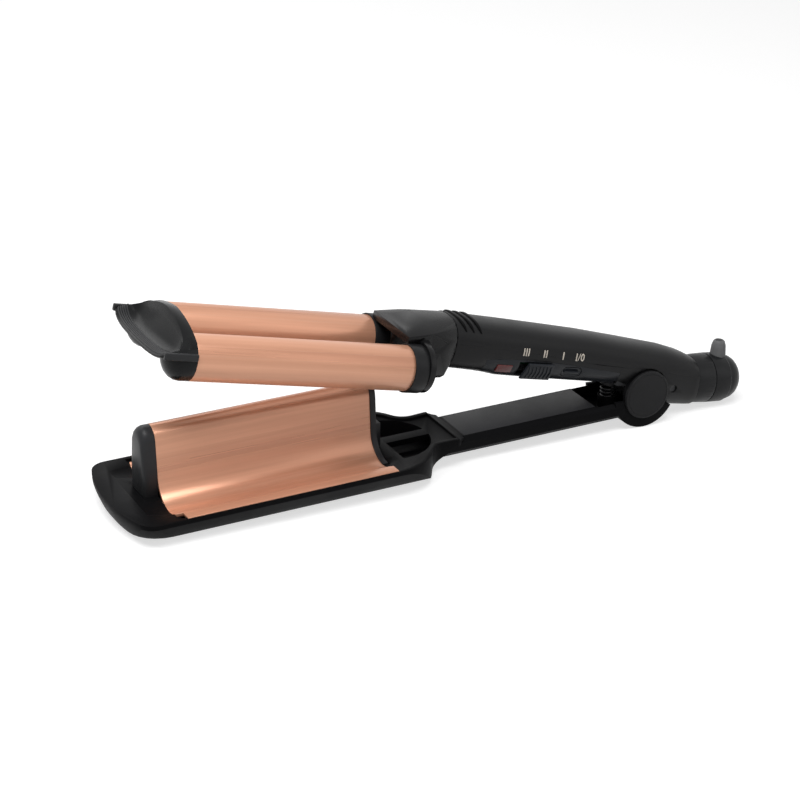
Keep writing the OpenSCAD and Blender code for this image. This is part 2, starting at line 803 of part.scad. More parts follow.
module handle_body() {
    color([0.1, 0.1, 0.105])
    in_upper()
        difference() {
            union() {
                difference() {
                    loft([for (x = [-121, -105, -94, -85, -76, -58, -46, -33, -19, -8, 0, 10, 18,
                        26, 32, 38]) under_ring(x, lookup(x, upper_seam) - 0.01, shell_wall)],
                        ribbon = true);
                    along_y(-40, 40) polygon(concat([for (p = panel_seam) p],
                        [[-19.1, -20], [-101.6, -20]]));
                }
                along_y(-12.8, 12.8) polygon(concat([for (p = panel_seam) p + [0, 1.6]],
                    [for (i = [len(panel_seam) - 1 : -1 : 0]) panel_seam[i]]));
                for (x = [-92, -44])
                    translate([x, 0, 12.15]) cylinder(r = 3, h = 4);
                // Bridge over the hinge that joins the front and rear of the shell.
                box_from([-21, -9.5, 12.05], [16.5, 9.5, 13.8]);
                box_from([-21, -12.7, 9], [-18.7, 12.7, 13.2]);
                box_from([12.4, -12.3, 4], [16.5, 12.3, 10.8]);
                box_from([12.4, -9, 10.7], [16.5, 9, 12.1]);
            }
            knuckle_room();
            behind_handle();
            box_from([-18.6, -12.2, -12], [12.2, 12.2, 12.02]);
            for (side = [-1, 1])
                bar_y(tail_screw.x, tail_screw.y, 2.1, side > 0 ? 5 : -20, side > 0 ? 20 : -5);
            for (x = [-92, -44])
                translate([x, 0, 10]) cylinder(r = 1.1, h = 10);
        }
}

// Places children on the sloping near side of the control panel, local Z outwards.
panel_slope = 17.5;
module on_panel(x, z, y = 13) {
    translate([x, -y, z]) rotate([90 + panel_slope, 0, 0]) children();
}

module stadium(l, w, h) {
    for (side = [-1, 1])
        translate([side * (l - w) / 2, 0, 0]) cylinder(d = w, h = h);
    translate([-(l - w) / 2, -w / 2, 0]) cube([l - w, w, h]);
}

lens_x = -90;
pad_x = -70.8;
pad_len = 17.4;
button_x = -49.4;
control_z = 9.6;

module control_panel() {
    color([0.15, 0.16, 0.18])
    in_upper()
        difference() {
            loft([for (x = [-101.5, -97, -91, -84, -76, -64, -52, -40, -30, -19.2])
                under_ring(x, lookup(x, panel_seam) - 0.02, 1.6)], ribbon = true);
            bar_y(0, 0, knuckle_r + gap, -30, 30);
            on_panel(lens_x, control_z) translate([-4.6, -2.3, -6]) cube([9.2, 4.6, 12]);
            on_panel(-73.2, control_z) translate([-8.8, -4.3, -6]) cube([17.6, 8.6, 12]);
            on_panel(button_x, control_z) translate([0, 0, -6]) stadium(12.4, 6.2, 12);
        }
}

// Boss that turns on the hinge pin, with the upper seat of the return spring.
module hinge_lug() {
    color([0.12, 0.12, 0.125])
    in_upper()
        difference() {
            union() {
                bar_y(0, 0, 7.6, -12.2, 12.2);
                box_from([-7.6, -12.2, 0], [7.6, 12.2, 12]);
                box_from([-18.6, -12.2, 3], [12.2, 12.2, 8.5]);
                translate([-14.3, 0, -0.6]) cylinder(r = 4.6, h = 6);
            }
            bar_y(0, 0, pin_d / 2 + slip, -20, 20);
        }
}

module indicator_lens() {
    color([0.45, 0.05, 0.04])
    in_upper()
        on_panel(lens_x, control_z) translate([-4.5, -2.2, -1.4]) cube([9, 4.4, 2.2]);
}

module indicator_lamp() {
    color([0.8, 0.25, 0.2])
    in_upper() {
        on_panel(lens_x, control_z) translate([0, 0, -3.6]) cylinder(r = 1.5, h = 2);
        box_from([lens_x - 2, -10, 8.8], [lens_x + 2, -5, 10.98]);
    }
}

module heat_switch() {
    rib = 0.5;
    color([0.14, 0.15, 0.16])
    in_upper() {
        on_panel(pad_x, control_z) {
            translate([-pad_len / 2, -4.6, 1]) cube([pad_len, 9.2, 1.3]);
            for (i = [-3 : 3])
                translate([i * 2.2 - rib / 2, -3.4, 2.2]) cube([rib, 6.8, 0.5]);
            translate([-2, -2.4, -2.6]) cube([7, 4.8, 4]);
        }
    }
}

module switch_module() {
    color([0.2, 0.2, 0.21])
    in_upper()
        box_from([-86, -9, 7.3], [-60, -3, 10.98]);
}

module power_button() {
    color([0.14, 0.15, 0.17])
    in_upper()
        on_panel(button_x, control_z) {
            translate([0, 0, -1.6]) stadium(11.6, 5.4, 2);
            translate([-4.4, -0.5, 0.3]) cube([8.8, 1, 0.9]);
        }
}

module push_switch() {
    color([0.2, 0.2, 0.21])
    in_upper() {
        box_from([button_x - 3, -8.4, 6.4], [button_x + 3, -4, 10.98]);
    }
}

module circuit_board() {
    color([0.1, 0.35, 0.2])
    in_upper()
        difference() {
            box_from([-97, -9.5, 11], [-39, 9.5, 12.1]);
            for (x = [-92, -44])
                translate([x, 0, 5]) cylinder(r = 1.3, h = 10);
        }
}

module board_screws() {
    color([0.7, 0.71, 0.73])
    in_upper()
        for (x = [-92, -44]) {
            translate([x, 0, 9.6]) cylinder(r = 2.2, h = 1.38);
            translate([x, 0, 10.9]) cylinder(r = 1, h = 4.6);
        }
}

module tail_screws() {
    color([0.7, 0.71, 0.73])
    in_upper()
        for (side = [-1, 1])
            bar_y(tail_screw.x, tail_screw.y, 2, side > 0 ? 8 : -12.2, side > 0 ? 12.2 : -8);
}

// Tail ------------------------------------------------------------------

collar_len = 12;
neck_r = 8;
shoulder_at = 21.5;

module tail_collar() {
    r = collar_d / 2;
    color([0.13, 0.13, 0.135])
    in_tail()
        difference() {
            rotate_extrude()
                polygon([[0, 1.3], [r - 0.9, 1.3], [r - 0.3, 5], [r, collar_len], [0, collar_len]]);
            translate([0, 0, -10]) cylinder(r = neck_r + slip, h = 40);
            translate([0, 0, -10]) cylinder(r = neck_r + 2.6, h = 16);
        }
}

module swivel_body() {
    r = collar_d / 2;
    color([0.16, 0.16, 0.165])
    in_tail()
        difference() {
            rotate_extrude()
                polygon(concat([[0, 2.6], [neck_r + 2, 2.6], [neck_r + 2, 5.6], [neck_r, 5.6],
                    [neck_r, collar_len + gap], [r, collar_len + gap], [r, shoulder_at]],
                    [for (a = [0 : 15 : 75])
                        [tail_end_r + (r - 0.9 - tail_end_r) * cos(a),
                            shoulder_at + 1 + (tail_len - shoulder_at - 1) * sin(a)]],
                    [[tail_end_r, tail_len], [0, tail_len]]));
            translate([0, 0, -10]) cylinder(r = 4, h = 33);
            outlet_axis() cylinder(r = outlet_r + 0.02, h = 40);
        }
}

outlet_at = 20.7;
outlet_r = 4.2;

module outlet_axis() {
    translate([0, 0, outlet_at]) rotate([0, -96, 0]) children();
}

// Stub that carries the cord out at a right angle.
module cord_outlet() {
    color([0.2, 0.2, 0.205])
    in_tail()
        outlet_axis()
            rotate_extrude()
                polygon([[1.8, 4.5], [outlet_r, 4.5], [outlet_r, 13.4], [3.8, 18.2], [3.1, 20.4],
                    [2.5, 21.1], [1.8, 21.2]]);
}

lower_housing();
wave_plate();
ridge_front_cap();
ridge_rear_cap();
plate_spreader();
plate_heater();
plate_screws();
arm_inlay();
hinge_pin();
hinge_washers();
hinge_cap_near();
hinge_cap_far();
return_spring();
barrel_near();
barrel_far();
spreader_near();
spreader_far();
heater_near();
heater_far();
cool_tip();
collar_near();
collar_far();
hub();
handle_top();
vent_ribs();
handle_body();
control_panel();
hinge_lug();
indicator_lens();
indicator_lamp();
heat_switch();
switch_module();
power_button();
push_switch();
circuit_board();
board_screws();
tail_screws();
tail_collar();
swivel_body();
cord_outlet();
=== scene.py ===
from math import cos, pi, radians, sin
import bmesh
import bpy
from mathutils import Matrix, Vector
from mathutils.bvhtree import BVHTree


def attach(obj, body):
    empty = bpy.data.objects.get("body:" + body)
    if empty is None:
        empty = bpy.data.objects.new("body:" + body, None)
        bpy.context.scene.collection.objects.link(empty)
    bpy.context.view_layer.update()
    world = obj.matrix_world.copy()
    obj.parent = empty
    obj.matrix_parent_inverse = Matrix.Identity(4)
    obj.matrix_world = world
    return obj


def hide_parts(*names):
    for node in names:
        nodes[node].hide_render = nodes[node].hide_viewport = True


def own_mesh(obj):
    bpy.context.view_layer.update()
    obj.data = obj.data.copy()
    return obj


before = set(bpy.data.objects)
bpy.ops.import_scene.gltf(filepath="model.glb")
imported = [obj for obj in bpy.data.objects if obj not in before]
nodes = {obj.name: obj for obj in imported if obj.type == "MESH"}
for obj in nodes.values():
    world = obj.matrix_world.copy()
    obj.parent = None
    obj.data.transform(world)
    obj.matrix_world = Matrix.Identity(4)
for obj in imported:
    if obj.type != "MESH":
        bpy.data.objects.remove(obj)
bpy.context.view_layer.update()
scene = bpy.context.scene
print("frame loaded,", len(nodes), "nodes")

# The two arms are drawn in millimetres from the hinge, as in the part's source.
arms = {"hinge": (0.112899, 0.0, 0.0184), "restTilt": 1.04362, "open": 13.8,
        "panelSlope": 17.5}


def armFrame(degrees):
    turn = Matrix.Rotation(radians(degrees), 4, "Y")
    return Matrix.Translation(arms["hinge"]) @ turn @ Matrix.Scale(0.001, 4)


lowerFrame = armFrame(-arms["restTilt"])
upperFrame = armFrame(arms["open"] - arms["restTilt"])


def panelFrame(x, z):
    slope = Matrix.Rotation(radians(90 + arms["panelSlope"]), 4, "X")
    return upperFrame @ Matrix.Translation((x, -13, z)) @ slope


# Camera at the viewing angle of the photograph.
view = {"place": (-0.489521, -0.861273, 0.481035), "turn": (65.46389, -1.702876, -27.651191),
        "lens": 98.567}
cameraData = bpy.data.cameras.new("camera")
cameraData.lens = view["lens"]
cameraData.sensor_width = 36
cameraData.clip_start = 0.05
cameraData.clip_end = 20
camera = bpy.data.objects.new("camera", cameraData)
camera.location = view["place"]
camera.rotation_euler = [radians(a) for a in view["turn"]]
scene.collection.objects.link(camera)
scene.camera = camera
scene.view_settings.view_transform = "Standard"


# A node group with its inputs, outputs and the two end nodes.
def newGroup(name, inputs, outputs):
    tree = bpy.data.node_groups.new(name, "ShaderNodeTree")
    for label, kind, value in inputs:
        socket = tree.interface.new_socket(label, in_out="INPUT", socket_type="NodeSocket" + kind)
        if value is not None:
            socket.default_value = value
    for label, kind in outputs:
        tree.interface.new_socket(label, in_out="OUTPUT", socket_type="NodeSocket" + kind)
    return tree, tree.nodes.new("NodeGroupInput"), tree.nodes.new("NodeGroupOutput")


def addNode(tree, kind, **settings):
    made = tree.nodes.new("ShaderNode" + kind)
    for key, value in settings.items():
        setattr(made, key, value)
    return made


def mathNode(tree, operation, first, second):
    made = addNode(tree, "Math", operation=operation)
    for socket, value in zip(made.inputs, (first, second)):
        if isinstance(value, (int, float)):
            socket.default_value = value
        else:
            tree.links.new(value, socket)
    return made.outputs[0]


# Fine moulded or blasted grain, as a height.
grainGroup, grainIn, grainOut = newGroup(
    "fineGrain", [("Vector", "Vector", None), ("Scale", "Float", 2000.0), ("Pebble", "Float", 0.4)],
    [("Height", "Float")])
noise = addNode(grainGroup, "TexNoise")
noise.inputs["Detail"].default_value = 4
cells = addNode(grainGroup, "TexVoronoi", feature="SMOOTH_F1")
cells.inputs["Smoothness"].default_value = 0.6
for texture in (noise, cells):
    grainGroup.links.new(grainIn.outputs["Vector"], texture.inputs["Vector"])
    grainGroup.links.new(grainIn.outputs["Scale"], texture.inputs["Scale"])
pebble = mathNode(grainGroup, "MULTIPLY", cells.outputs["Distance"], grainIn.outputs["Pebble"])
grainGroup.links.new(mathNode(grainGroup, "SUBTRACT", noise.outputs["Fac"], pebble),
                     grainOut.inputs["Height"])

# Slow drift from one value to another, for gloss that handling has changed; its raw mask also mixes
# two base tones, which become painted reflection bands where the metals stretch it lengthwise.
driftGroup, driftIn, driftOut = newGroup(
    "slowDrift", [("Vector", "Vector", None), ("Scale", "Float", 40.0), ("Low", "Float", 0.3),
                  ("High", "Float", 0.5)], [("Value", "Float"), ("Mask", "Float")])
cloud = addNode(driftGroup, "TexNoise")
cloud.inputs["Detail"].default_value = 5
cloud.inputs["Roughness"].default_value = 0.6
driftGroup.links.new(driftIn.outputs["Vector"], cloud.inputs["Vector"])
driftGroup.links.new(driftIn.outputs["Scale"], cloud.inputs["Scale"])
spread = addNode(driftGroup, "MapRange")
spread.inputs["From Min"].default_value = 0.32
spread.inputs["From Max"].default_value = 0.68
driftGroup.links.new(cloud.outputs["Fac"], spread.inputs["Value"])
driftGroup.links.new(driftIn.outputs["Low"], spread.inputs["To Min"])
driftGroup.links.new(driftIn.outputs["High"], spread.inputs["To Max"])
driftGroup.links.new(spread.outputs["Result"], driftOut.inputs["Value"])
driftGroup.links.new(cloud.outputs["Fac"], driftOut.inputs["Mask"])

# Hairline rubs: thin broken streaks along the first axis of the vector.
rubGroup, rubIn, rubOut = newGroup(
    "hairRubs", [("Vector", "Vector", None), ("Scale", "Float", 300.0), ("Cover", "Float", 0.12)],
    [("Mask", "Float")])
squeeze = addNode(rubGroup, "VectorMath", operation="MULTIPLY")
squeeze.inputs[1].default_value = (0.06, 1.0, 1.0)
streak = addNode(rubGroup, "TexNoise")
streak.inputs["Detail"].default_value = 3
rubGroup.links.new(rubIn.outputs["Vector"], squeeze.inputs[0])
rubGroup.links.new(squeeze.outputs["Vector"], streak.inputs["Vector"])
rubGroup.links.new(rubIn.outputs["Scale"], streak.inputs["Scale"])
limit = addNode(rubGroup, "MapRange")
limit.inputs["From Min"].default_value = 0.62
limit.inputs["From Max"].default_value = 0.74
rubGroup.links.new(streak.outputs["Fac"], limit.inputs["Value"])
rubGroup.links.new(mathNode(rubGroup, "MULTIPLY", limit.outputs["Result"],
                            rubIn.outputs["Cover"]), rubOut.inputs["Mask"])


def placeGroup(tree, group, vector, values):
    made = addNode(tree, "Group", node_tree=group)
    tree.links.new(vector, made.inputs["Vector"])
    for label, value in values.items():
        made.inputs[label].default_value = value
    return made


def mixColour(tree, mask, low, high):
    made = addNode(tree, "Mix", data_type="RGBA")
    tree.links.new(mask, made.inputs[0])
    for socket, value in ((made.inputs[6], low), (made.inputs[7], high)):
        if isinstance(value, tuple):
            socket.default_value = value + (1.0,)
        else:
            tree.links.new(value, socket)
    return made.outputs[2]


def finish(name, look):
    material = bpy.data.materials.new(name)
    material.use_nodes = True
    tree = material.node_tree
    shader = tree.nodes["Principled BSDF"]
    place = addNode(tree, "TexCoord")
    mapping = addNode(tree, "Mapping", vector_type="TEXTURE")
    mapping.inputs["Rotation"].default_value = [radians(a) for a in look.get("turn", (0, 0, 0))]
    mapping.inputs["Scale"].default_value = (look.get("stretch", 1), 1, 1)
    tree.links.new(place.outputs["Object"], mapping.inputs["Vector"])
    vector = mapping.outputs["Vector"]
    grain = placeGroup(tree, grainGroup, vector, {"Scale": look["grain"], "Pebble": look["pebble"]})
    drift = placeGroup(tree, driftGroup, vector,
                       {"Scale": look["drift"], "Low": look["rough"][0], "High": look["rough"][1]})
    rubs = placeGroup(tree, rubGroup, vector, {"Scale": look["rubScale"], "Cover": look["rubs"]})
    # On the metals this mix paints reflection bands, dark to bright along the length; on the
    # plastics it is a random tone.
    toneAndPaintedBands = mixColour(tree, drift.outputs["Mask"], look["colour"], look["shade"])
    tree.links.new(mixColour(tree, rubs.outputs["Mask"], toneAndPaintedBands, look["worn"]),
                   shader.inputs["Base Color"])
    tree.links.new(drift.outputs["Value"], shader.inputs["Roughness"])
    bump = addNode(tree, "Bump")
    bump.inputs["Strength"].default_value = look["bump"]
    bump.inputs["Distance"].default_value = look["depth"]
    tree.links.new(grain.outputs["Height"], bump.inputs["Height"])
    tree.links.new(bump.outputs["Normal"], shader.inputs["Normal"])
    for label, value in look["shader"].items():
        shader.inputs[label].default_value = value
    return material


# The angles line each arm's pattern up with its length, so the painted reflection bands on the
# metals run along it.
armTurn = (0, arms["open"] - arms["restTilt"], 0)
plateTurn = (0, -arms["restTilt"], 0)
# Metal look: its colour and shade tones, mixed by the stretched drift mask, are painted lengthwise
# reflection bands, and every metal made from it carries them.
satinMetalPaintedBands = {"colour": (0.28, 0.105, 0.055), "shade": (1.0, 0.54, 0.355),
              "worn": (0.88, 0.58, 0.43), "rough": (0.24, 0.36), "grain": 900.0, "pebble": 0.0,
              "drift": 90.0, "rubScale": 900.0, "rubs": 0.30, "bump": 0.10, "depth": 0.00006,
              "stretch": 40, "shader": {"Metallic": 0.3, "Specular IOR Level": 0.3}}
blackPlastic = {"colour": (0.0075, 0.0075, 0.008), "shade": (0.0050, 0.0050, 0.0055),
                "worn": (0.018, 0.018, 0.019), "rough": (0.34, 0.46), "grain": 2600.0,
                "pebble": 0.5, "drift": 30.0, "rubScale": 500.0, "rubs": 0.10, "bump": 0.22,
                "depth": 0.00008, "shader": {"Specular IOR Level": 0.16}}
roseBarrels = finish("roseGoldBarrels", dict(satinMetalPaintedBands, turn=armTurn))
rosePlate = finish("roseGoldPlate", dict(satinMetalPaintedBands, turn=plateTurn))
blackUpper = finish("satinBlackUpper", dict(blackPlastic, turn=armTurn))
# Darker, almost unreflective copy of the satin black for the lower housing: painted shade.
shadedBlackLower = finish("shadedSatinBlackLower", dict(blackPlastic, colour=(0.005, 0.005, 0.0055),
                                            shade=(0.0035, 0.0035, 0.004), rough=(0.38, 0.52),
                                            turn=plateTurn, shader={"Specular IOR Level": 0.03}))
hubBlack = finish("facetBlack", dict(blackPlastic, rough=(0.20, 0.30), bump=0.08, turn=armTurn))
tipBlack = finish("tipBlack", dict(blackPlastic, colour=(0.0055, 0.0058, 0.0063),
                                   shade=(0.0035, 0.0038, 0.0043), rough=(0.22, 0.30), bump=0.10,
                                   shader={"Specular IOR Level": 0.14}))
# Lighter grey copy of the tip's black: a painted highlight on the grip ridges and the tip rails.
paintedHighlightGrey = finish("paintedHighlightGrey", dict(blackPlastic, colour=(0.030, 0.0305, 0.032),
                                   shade=(0.024, 0.0245, 0.026), rough=(0.30, 0.40)))
capBlack = finish("ridgeCapBlack", dict(blackPlastic, colour=(0.030, 0.0305, 0.033),
                                        shade=(0.022, 0.0225, 0.0245), rough=(0.34, 0.44)))
inlayGrey = finish("inlayGrey", dict(blackPlastic, colour=(0.022, 0.022, 0.024),
                                     shade=(0.016, 0.016, 0.018), rough=(0.40, 0.52),
                                     grain=3400.0, bump=0.35, turn=plateTurn))
panelGrey = finish("panelGrey", dict(blackPlastic, colour=(0.018, 0.0195, 0.023),
                                     shade=(0.013, 0.0145, 0.0175), rough=(0.30, 0.40),
                                     turn=armTurn))
discBlack = finish("discBlack", dict(blackPlastic, colour=(0.012, 0.012, 0.013), grain=3800.0,
                                     rough=(0.50, 0.62), bump=0.45))
ventBlack = finish("ventBlack", dict(blackPlastic, colour=(0.002, 0.002, 0.0022),
                                     shade=(0.0015, 0.0015, 0.0017), rough=(0.30, 0.40),
                                     shader={"Specular IOR Level": 0.05}))
collarBlack = finish("collarBlack", dict(blackPlastic, colour=(0.014, 0.0145, 0.0155),
                                         rough=(0.30, 0.42)))
rubber = finish("outletRubber", dict(blackPlastic, colour=(0.16, 0.16, 0.163),
                                     shade=(0.12, 0.12, 0.123), rough=(0.52, 0.66),
                                     grain=3000.0, bump=0.5, worn=(0.14, 0.14, 0.142)))
steel = finish("steel", dict(satinMetalPaintedBands, colour=(0.56, 0.57, 0.59), shade=(0.44, 0.45, 0.47),
                             worn=(0.70, 0.71, 0.73), rough=(0.25, 0.40)))
# Nearly black steel: painted shade on the tail screws in their recess and on the return spring.
shadedSteel = finish("shadedSteel", dict(satinMetalPaintedBands, colour=(0.035, 0.035, 0.037),
                                     shade=(0.025, 0.025, 0.027), worn=(0.12, 0.12, 0.125),
                                     rough=(0.35, 0.50)))
alloy = finish("spreaderAlloy", dict(satinMetalPaintedBands, colour=(0.70, 0.71, 0.73),
                                     shade=(0.58, 0.59, 0.61), worn=(0.82, 0.83, 0.85),
                                     rough=(0.38, 0.50)))
nylon = finish("washerNylon", dict(blackPlastic, colour=(0.62, 0.60, 0.55),
                                   shade=(0.52, 0.50, 0.45), worn=(0.72, 0.70, 0.66),
                                   rough=(0.40, 0.55)))
ceramic = finish("heaterWhite", dict(blackPlastic, colour=(0.74, 0.72, 0.67),
                                     shade=(0.62, 0.60, 0.55), worn=(0.82, 0.80, 0.77),
                                     rough=(0.50, 0.65)))
redLens = finish("redLens", dict(blackPlastic, colour=(0.13, 0.022, 0.020),
                                 shade=(0.075, 0.012, 0.012), worn=(0.22, 0.07, 0.065),
                                 rough=(0.12, 0.22), grain=900.0, bump=0.05,
                                 shader={"Specular IOR Level": 0.3, "Coat Weight": 0.1}))
lampRed = finish("lampRed", dict(blackPlastic, colour=(0.52, 0.06, 0.04), shade=(0.38, 0.04, 0.03),
                                 worn=(0.66, 0.20, 0.16), rough=(0.10, 0.20)))
switchBlack = finish("switchBlack", dict(blackPlastic, colour=(0.024, 0.024, 0.026),
                                         shade=(0.018, 0.018, 0.02), rough=(0.42, 0.55)))
buttonGrey = finish("buttonGrey", dict(blackPlastic, colour=(0.016, 0.018, 0.022),
                                       shade=(0.012, 0.014, 0.018), rough=(0.26, 0.36)))
boardGreen = finish("boardGreen", dict(blackPlastic, colour=(0.006, 0.040, 0.018),
                                       shade=(0.005, 0.030, 0.014), worn=(0.10, 0.08, 0.03),
                                       rough=(0.28, 0.40), rubs=0.5, rubScale=900.0))
printInk = finish("printInk", dict(blackPlastic, colour=(0.66, 0.60, 0.52),
                                   shade=(0.58, 0.52, 0.45), worn=(0.74, 0.70, 0.63),
                                   rough=(0.40, 0.50), bump=0.05))
print("materials made,", len(bpy.data.materials))


# Gives a mesh its object, material and body.
def keepPiece(name, mesh, material, body):
    piece = bpy.data.objects.new(name, mesh)
    scene.collection.objects.link(piece)
    mesh.materials.clear()
    mesh.materials.append(material)
    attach(piece, body)
    return piece


def smoothFaces(mesh, degrees=32):
    for face in mesh.polygons:
        face.use_smooth = True
    mesh.set_sharp_from_angle(angle=radians(degrees))


# A welded copy of a CAD node with its hard edges broken, which takes the node's place.
def dressed(node, name, material, body, edge=0.25, sharp=32, segments=2):
    bm = bmesh.new()
    bm.from_mesh(nodes[node].data)
    bmesh.ops.remove_doubles(bm, verts=bm.verts, dist=0.00001)
    bmesh.ops.dissolve_limit(bm, angle_limit=radians(0.4), verts=bm.verts, edges=bm.edges)
    if edge:
        hard = [e for e in bm.edges
                if len(e.link_faces) == 2 and e.calc_face_angle(0) > radians(sharp)]
        bmesh.ops.bevel(bm, geom=hard, offset=edge * 0.001, offset_type="OFFSET",
                        affect="EDGES", segments=segments, profile=0.5, material=-1,
                        clamp_overlap=True)
    mesh = bpy.data.meshes.new(name)
    bm.to_mesh(mesh)
    bm.free()
    smoothFaces(mesh, sharp)
    piece = keepPiece(name, mesh, material, body)
    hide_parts(node)
    return piece


copies = {
    "lower_arm": [
        ("lower_housing", "lowerHousing", shadedBlackLower, "satin_black", 0.3),
        ("wave_plate", "wavePlate", rosePlate, "rose_gold", 0.25),
        ("ridge_front_cap", "ridgeFrontCap", capBlack, "satin_black", 0.2),
        ("ridge_rear_cap", "ridgeRearCap", capBlack, "satin_black", 0.35),
        ("arm_inlay", "armInlay", inlayGrey, "inlay_grey", 0.3),
        ("hinge_washers", "hingeWashers", nylon, "washer_nylon", 0)],
    "upper_arm": [
        ("barrel_near", "barrelNear", roseBarrels, "rose_gold", 0.2),
        ("barrel_far", "barrelFar", roseBarrels, "rose_gold", 0.2),
        ("cool_tip", "coolTip", tipBlack, "satin_black", 0.25),
        ("collar_near", "collarNear", collarBlack, "satin_black", 0.3),
        ("collar_far", "collarFar", collarBlack, "satin_black", 0.3),
        ("hub", "hub", hubBlack, "satin_black", 0.3),
        ("handle_top", "handleTop", blackUpper, "satin_black", 0.3),
        ("vent_ribs", "ventRibs", ventBlack, "vent_black", 0.12),
        ("handle_body", "handleBody", blackUpper, "satin_black", 0.3),
        ("control_panel", "controlPanel", panelGrey, "panel_grey", 0.3),
        ("indicator_lens", "indicatorLens", redLens, "red_lens", 0.35),
        ("tail_collar", "tailCollar", collarBlack, "inlay_grey", 0.4)],
    "cord_swivel": [
        ("swivel_body", "swivelBody", collarBlack, "inlay_grey", 0.5),
        ("cord_outlet", "cordOutlet", rubber, "outlet_rubber", 0.4)],
}
for body, rows in copies.items():
    for node, name, material, slot, edge in rows:
        dressed(node, name, material, body, edge)
print("CAD shapes dressed")

# The tail screws take the nearly black steel, painted shade in their recess.
plain = {"plate_spreader": alloy, "plate_heater": ceramic, "plate_screws": steel,
         "hinge_pin": steel, "spreader_near": alloy, "spreader_far": alloy,
         "heater_near": ceramic, "heater_far": ceramic, "hinge_lug": switchBlack,
         "indicator_lamp": lampRed, "switch_module": switchBlack, "push_switch": switchBlack,
         "circuit_board": boardGreen, "board_screws": steel, "tail_screws": shadedSteel}
for node, material in plain.items():
    mesh = nodes[node].data
    mesh.materials.clear()
    mesh.materials.append(material)


# Round wires swept along lines of (point, share of the radius).
def sweptPiece(name, lines, matrix, radius, material, body, sides=3):
    curve = bpy.data.curves.new(name, "CURVE")
    curve.dimensions = "3D"
    curve.bevel_depth = radius * 0.001
    curve.bevel_resolution = sides
    curve.use_fill_caps = True
    for line in lines:
        spline = curve.splines.new("POLY")
        spline.points.add(len(line) - 1)
        for point, (place, share) in zip(spline.points, line):
            point.co = (*(matrix @ Vector(place)), 1)
            point.radius = share
    holder = bpy.data.objects.new(name + "Line", curve)
    scene.collection.objects.link(holder)
    mesh = bpy.data.meshes.new_from_object(
        holder.evaluated_get(bpy.context.evaluated_depsgraph_get()))
    bpy.data.objects.remove(holder)
    smoothFaces(mesh, 50)
    return keepPiece(name, mesh, material, body)


# A flat outline raised to a height, with broken edges, added to a bmesh.
def raised(bm, outline, low, high, edge, segments=2):
    face = bm.faces.new([bm.verts.new((x, y, low)) for x, y in outline])
    lifted = bmesh.ops.extrude_face_region(bm, geom=[face])["geom"]
    top = [g for g in lifted if isinstance(g, bmesh.types.BMVert)]
    bmesh.ops.translate(bm, verts=top, vec=(0, 0, high - low))
    verts = list(face.verts) + top
    faces = {f for v in verts for f in v.link_faces}
    bmesh.ops.recalc_face_normals(bm, faces=list(faces))
    if edge:
        rim = [e for e in bm.edges if e.verts[0] in top and e.verts[1] in top]
        bmesh.ops.bevel(bm, geom=rim, offset=edge, offset_type="OFFSET", affect="EDGES",
                        segments=segments, profile=0.5, material=-1, clamp_overlap=True)


def ovalOutline(length, width, steps=14):
    reach, r = (length - width) / 2, width / 2
    right = [(reach + r * sin(pi * i / steps), -r * cos(pi * i / steps)) for i in range(steps + 1)]
    return right + [(-x, -y) for x, y in right]


def settle(bm, name, matrix, material, body, sharp=35):
    bmesh.ops.transform(bm, matrix=matrix, verts=bm.verts)
    mesh = bpy.data.meshes.new(name)
    bm.to_mesh(mesh)
    bm.free()
    smoothFaces(mesh, sharp)
    return keepPiece(name, mesh, material, body)


# Grip ridges on the lip of the tip, in a lighter grey that is a painted highlight along each ridge.
grip = {"ridges": 5, "radius": 0.5, "from": 0.06, "to": 0.8,
        "rows": [30.4, 29.4, 27, 24, 20.5, 17, 13, 9, 4.5, 0], "taperFrom": 30}
# The lip's top face as the part's source draws it, from the rounded front edge to the root.
lip = {"half": 31.4, "edgeX": -283.6, "edgeZ": 8.6, "edgeSweep": 1.5, "cornerBack": 2.5,
       "edgeRise": 4.6, "thick": 1.9, "rootHalf": 30, "rootX": -276.5, "rootZ": 10.7,
       "rootSweep": 1.2, "rootRise": 5.2, "dropFrom": 28.6, "dropOver": 2.8, "endDrop": 1.1}


def lipPoint(y, share):
    s = abs(y) / lip["half"]
    r = abs(y) / lip["rootHalf"]
    edge = Vector((lip["edgeX"] + lip["edgeSweep"] * s ** 1.3 + lip["cornerBack"] * s ** 30 + 1,
                   y, lip["edgeZ"] + lip["edgeRise"] * s ** 5 + lip["thick"]))
    root = Vector((lip["rootX"] + lip["rootSweep"] * r ** 1.3, y,
                   lip["rootZ"] + lip["rootRise"] * min(r, 1.02) ** 5))
    drop = lip["endDrop"] * (max(abs(y) - lip["dropFrom"], 0) / lip["dropOver"]) ** 3
    point = edge.lerp(root, share)
    point.z -= drop * (0.6 + 0.4 * share)
    return point


gripRows = grip["rows"] + [-y for y in reversed(grip["rows"][:-1])]
gripLines = []
for k in range(grip["ridges"]):
    share = grip["from"] + (grip["to"] - grip["from"]) * k / (grip["ridges"] - 1)
    gripLines.append([(lipPoint(y, share), 0.5 if abs(y) > grip["taperFrom"] else 1.0)
                      for y in gripRows])
gripRidges = sweptPiece("gripRidges", gripLines, upperFrame, grip["radius"], paintedHighlightGrey, "upper_arm")

